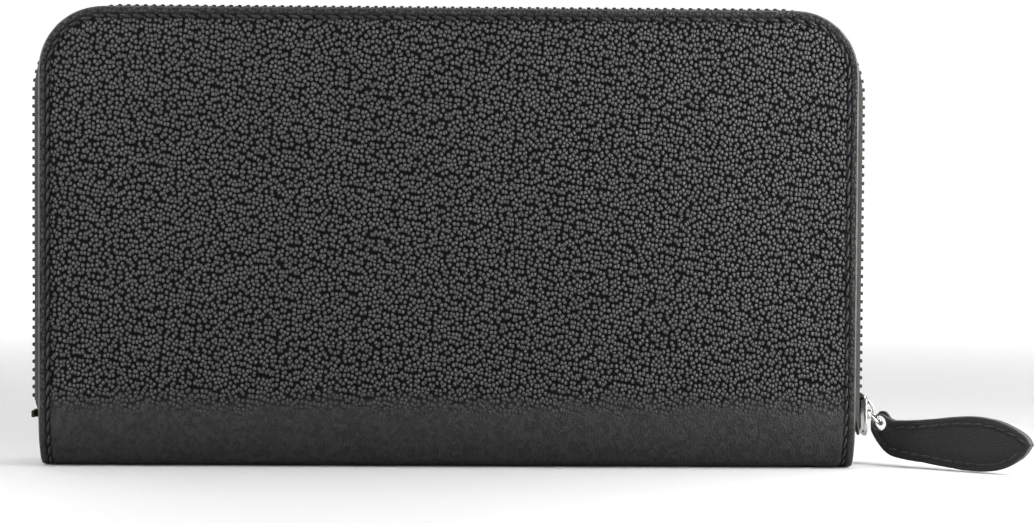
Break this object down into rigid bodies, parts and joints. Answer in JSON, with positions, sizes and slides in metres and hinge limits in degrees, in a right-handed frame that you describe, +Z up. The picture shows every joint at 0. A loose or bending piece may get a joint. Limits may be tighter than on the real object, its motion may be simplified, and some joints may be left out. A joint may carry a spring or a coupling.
{
  "type": "zip-around long wallet",
  "caption": "Long zip-around wallet in pebbled leather, standing on its spine, with opening covers, card leaves, bill spaces, a zipped coin pocket, a slider and a leather pull.",
  "frame": {"origin": "middle of the flat strip of the spine that the wallet stands on", "axes": "+X along the spine towards the closed slider, +Y through the thickness towards the back cover, +Z up from the spine to the top edge"},
  "size_m": [0.2325, 0.0362, 0.1083],
  "materials": {
    "pebbled_leather": "pebble grain, satin",
    "pull_leather": "fine grain, satin",
    "inner_leather": "smooth, satin",
    "lining_fabric": "woven, matt",
    "padding_foam": "matt",
    "gusset_fabric": "woven, matt",
    "zip_tape": "woven, matt",
    "black_teeth": "black plated, satin",
    "metal_teeth": "satin",
    "black_thread": "matt",
    "stop_metal": "black plated, satin",
    "nickel": "bright nickel plate"
  },
  "bodies": {
    "spine": {"back_left_gusset": "gusset_fabric", "back_right_gusset": "gusset_fabric", "coin_back_tape": "zip_tape", "coin_back_teeth": "metal_teeth", "coin_back_wall": "inner_leather", "coin_base": "inner_leather", "coin_front_tape": "zip_tape", "coin_front_teeth": "metal_teeth", "coin_front_wall": "inner_leather", "coin_left_gusset": "gusset_fabric", "coin_right_gusset": "gusset_fabric", "coin_zip_stops": "stop_metal", "front_left_gusset": "gusset_fabric", "front_right_gusset": "gusset_fabric", "spine_leather": "pebbled_leather", "spine_lining": "lining_fabric"},
    "front_half": {"front_card_backing": "inner_leather", "front_card_slot_1": "inner_leather", "front_card_slot_2": "inner_leather", "front_card_slot_3": "inner_leather", "front_card_slot_4": "inner_leather", "front_cover_leather": "pebbled_leather", "front_cover_padding": "padding_foam", "front_cover_stitching": "black_thread", "front_lining": "lining_fabric", "front_zip_tape": "zip_tape", "front_zip_teeth": "black_teeth"},
    "back_half": {"back_card_backing": "inner_leather", "back_card_slot_1": "inner_leather", "back_card_slot_2": "inner_leather", "back_card_slot_3": "inner_leather", "back_card_slot_4": "inner_leather", "back_cover_leather": "pebbled_leather", "back_cover_padding": "padding_foam", "back_cover_stitching": "black_thread", "back_lining": "lining_fabric", "back_zip_tape": "zip_tape", "back_zip_teeth": "black_teeth", "zip_joining_stop": "stop_metal"},
    "zip_slider": {"slider_body": "nickel", "slider_bridge": "nickel"},
    "pull_ring": {"pull_ring": "nickel"},
    "leather_pull": {"pull_front_leather": "pull_leather", "pull_back_leather": "pull_leather", "pull_stitching": "black_thread"},
    "coin_zip_slider": {"coin_slider": "nickel", "coin_slider_bridge": "nickel"},
    "coin_zip_pull": {"coin_pull": "nickel"}
  },
  "joints": [
    {"name": "front_open", "type": "hinge", "parent": "spine", "child": "front_half", "pos_m": [0, -0.01041, 0.004], "axis": [1, 0, 0], "range_deg": [0, 45], "deforming": ["front_right_gusset", "front_left_gusset"]},
    {"name": "back_open", "type": "hinge", "parent": "spine", "child": "back_half", "pos_m": [0, 0.01041, 0.004], "axis": [-1, 0, 0], "range_deg": [0, 45], "deforming": ["back_right_gusset", "back_left_gusset"]},
    {"name": "slider_travel", "type": "slide", "parent": "back_half", "child": "zip_slider", "axis": [0, 0, 1], "range_m": [0, 0.07], "deforming": ["front_zip_teeth", "back_zip_teeth"]},
    {"name": "ring_swing", "type": "hinge", "parent": "zip_slider", "child": "pull_ring", "pos_m": [0.09983, 0, 0.01285], "axis": [-0.309, -0.9511, 0], "range_deg": [-5, 40]},
    {"name": "pull_turn", "type": "hinge", "parent": "pull_ring", "child": "leather_pull", "pos_m": [0.10294, -0.00101, 0.00991], "axis": [-0.309, -0.9511, 0], "range_deg": [-20, 35]},
    {"name": "coin_slider_travel", "type": "slide", "parent": "spine", "child": "coin_zip_slider", "axis": [-1, 0, 0], "range_m": [0, 0.14], "deforming": ["coin_front_teeth", "coin_back_teeth"]},
    {"name": "coin_pull_swing", "type": "hinge", "parent": "coin_zip_slider", "child": "coin_zip_pull", "pos_m": [0.074, 0, 0.0851], "axis": [0, 1, 0], "range_deg": [0, 170]}
  ]
}
